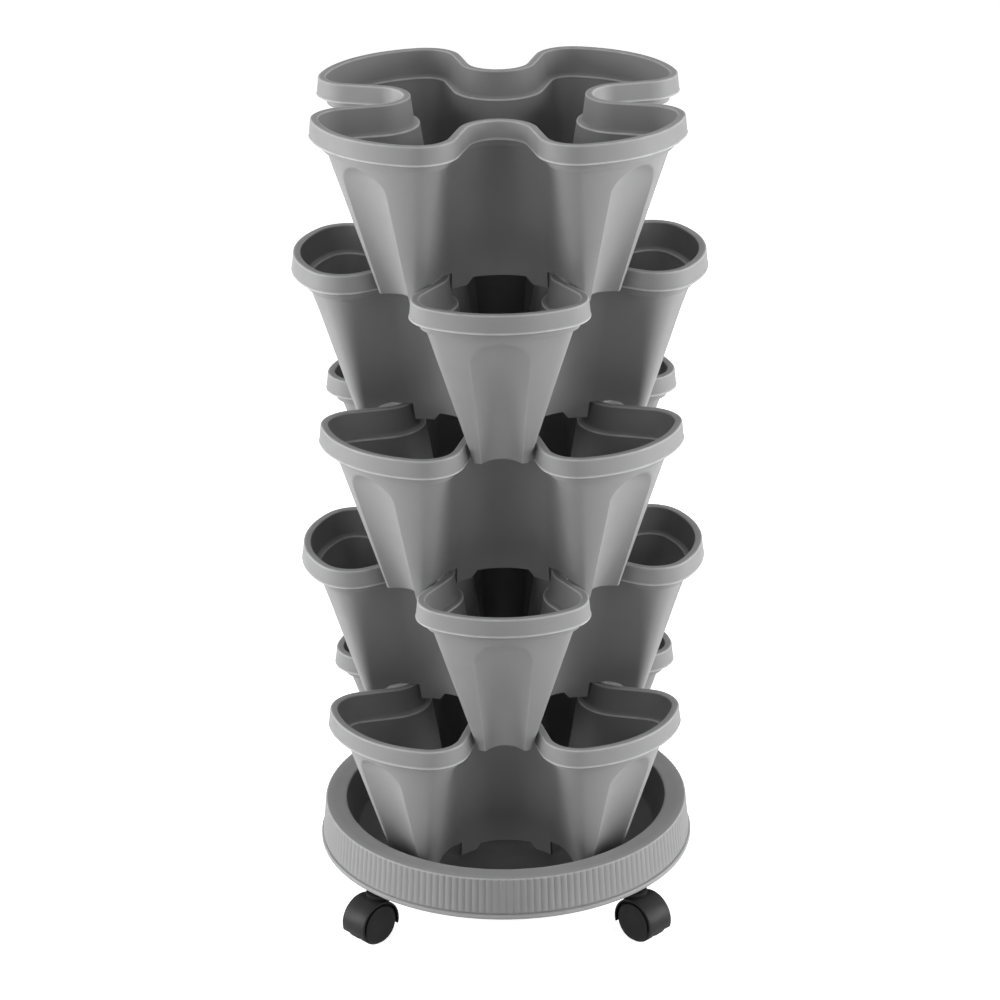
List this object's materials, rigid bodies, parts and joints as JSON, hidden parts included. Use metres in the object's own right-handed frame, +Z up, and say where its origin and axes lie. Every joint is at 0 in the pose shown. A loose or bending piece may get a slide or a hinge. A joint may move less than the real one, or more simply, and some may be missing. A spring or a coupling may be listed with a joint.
{
  "type": "vertical planter tower",
  "caption": "Tower of stacked clover-shaped pots, each turned against the next, on a round saucer with twin-wheel casters.",
  "frame": {"origin": "on the floor under the tower's axis, at the middle of the footprint", "axes": "+Z up along the stack, -Y to the front, where a lobe of the second pot from the top faces; the lowest pot has its lobes on the diagonals"},
  "size_m": [0.343, 0.343, 0.7127],
  "materials": {
    "planter_plastic": "moulded mid-grey plastic with a satin sheen",
    "caster_plastic": "moulded black plastic with a soft sheen",
    "wheel_plastic": "moulded near-black plastic",
    "steel": "bright plated steel rod"
  },
  "bodies": {
    "base": {"saucer": "planter_plastic", "caster_stem_rear_right": "steel", "caster_stem_rear_left": "steel", "caster_stem_front_left": "steel", "caster_stem_front_right": "steel"},
    "tier_1": {"planter_tier_1": "planter_plastic"},
    "tier_2": {"planter_tier_2": "planter_plastic"},
    "tier_3": {"planter_tier_3": "planter_plastic"},
    "tier_4": {"planter_tier_4": "planter_plastic"},
    "tier_5": {"planter_tier_5": "planter_plastic"},
    "caster_rear_right": {"caster_housing_rear_right": "caster_plastic", "caster_axle_rear_right": "steel"},
    "wheel_rear_right_a": {"caster_wheel_rear_right_a": "wheel_plastic"},
    "wheel_rear_right_b": {"caster_wheel_rear_right_b": "wheel_plastic"},
    "caster_rear_left": {"caster_housing_rear_left": "caster_plastic", "caster_axle_rear_left": "steel"},
    "wheel_rear_left_a": {"caster_wheel_rear_left_a": "wheel_plastic"},
    "wheel_rear_left_b": {"caster_wheel_rear_left_b": "wheel_plastic"},
    "caster_front_left": {"caster_housing_front_left": "caster_plastic", "caster_axle_front_left": "steel"},
    "wheel_front_left_a": {"caster_wheel_front_left_a": "wheel_plastic"},
    "wheel_front_left_b": {"caster_wheel_front_left_b": "wheel_plastic"},
    "caster_front_right": {"caster_housing_front_right": "caster_plastic", "caster_axle_front_right": "steel"},
    "wheel_front_right_a": {"caster_wheel_front_right_a": "wheel_plastic"},
    "wheel_front_right_b": {"caster_wheel_front_right_b": "wheel_plastic"}
  },
  "joints": [
    {"name": "lift_tier_1", "type": "slide", "parent": "base", "child": "tier_1", "axis": [0, 0, 1], "range_m": [0, 0.05]},
    {"name": "lift_tier_2", "type": "slide", "parent": "tier_1", "child": "tier_2", "axis": [0, 0, 1], "range_m": [0, 0.05]},
    {"name": "lift_tier_3", "type": "slide", "parent": "tier_2", "child": "tier_3", "axis": [0, 0, 1], "range_m": [0, 0.05]},
    {"name": "lift_tier_4", "type": "slide", "parent": "tier_3", "child": "tier_4", "axis": [0, 0, 1], "range_m": [0, 0.05]},
    {"name": "lift_tier_5", "type": "slide", "parent": "tier_4", "child": "tier_5", "axis": [0, 0, 1], "range_m": [0, 0.05]},
    {"name": "swivel_rear_right", "type": "hinge", "parent": "base", "child": "caster_rear_right", "pos_m": [0.10352, 0.10352, 0.042], "axis": [0, 0, 1], "continuous": true},
    {"name": "roll_rear_right_a", "type": "hinge", "parent": "caster_rear_right", "child": "wheel_rear_right_a", "pos_m": [0.11625, 0.11625, 0.019], "axis": [-0.7071, 0.7071, 0], "continuous": true},
    {"name": "roll_rear_right_b", "type": "hinge", "parent": "caster_rear_right", "child": "wheel_rear_right_b", "pos_m": [0.11625, 0.11625, 0.019], "axis": [-0.7071, 0.7071, 0], "continuous": true},
    {"name": "swivel_rear_left", "type": "hinge", "parent": "base", "child": "caster_rear_left", "pos_m": [-0.10352, 0.10352, 0.042], "axis": [0, 0, 1], "continuous": true},
    {"name": "roll_rear_left_a", "type": "hinge", "parent": "caster_rear_left", "child": "wheel_rear_left_a", "pos_m": [-0.11625, 0.11625, 0.019], "axis": [-0.7071, -0.7071, 0], "continuous": true},
    {"name": "roll_rear_left_b", "type": "hinge", "parent": "caster_rear_left", "child": "wheel_rear_left_b", "pos_m": [-0.11625, 0.11625, 0.019], "axis": [-0.7071, -0.7071, 0], "continuous": true},
    {"name": "swivel_front_left", "type": "hinge", "parent": "base", "child": "caster_front_left", "pos_m": [-0.10352, -0.10352, 0.042], "axis": [0, 0, 1], "continuous": true},
    {"name": "roll_front_left_a", "type": "hinge", "parent": "caster_front_left", "child": "wheel_front_left_a", "pos_m": [-0.11625, -0.11625, 0.019], "axis": [0.7071, -0.7071, 0], "continuous": true},
    {"name": "roll_front_left_b", "type": "hinge", "parent": "caster_front_left", "child": "wheel_front_left_b", "pos_m": [-0.11625, -0.11625, 0.019], "axis": [0.7071, -0.7071, 0], "continuous": true},
    {"name": "swivel_front_right", "type": "hinge", "parent": "base", "child": "caster_front_right", "pos_m": [0.10352, -0.10352, 0.042], "axis": [0, 0, 1], "continuous": true},
    {"name": "roll_front_right_a", "type": "hinge", "parent": "caster_front_right", "child": "wheel_front_right_a", "pos_m": [0.11625, -0.11625, 0.019], "axis": [0.7071, 0.7071, 0], "continuous": true},
    {"name": "roll_front_right_b", "type": "hinge", "parent": "caster_front_right", "child": "wheel_front_right_b", "pos_m": [0.11625, -0.11625, 0.019], "axis": [0.7071, 0.7071, 0], "continuous": true}
  ]
}
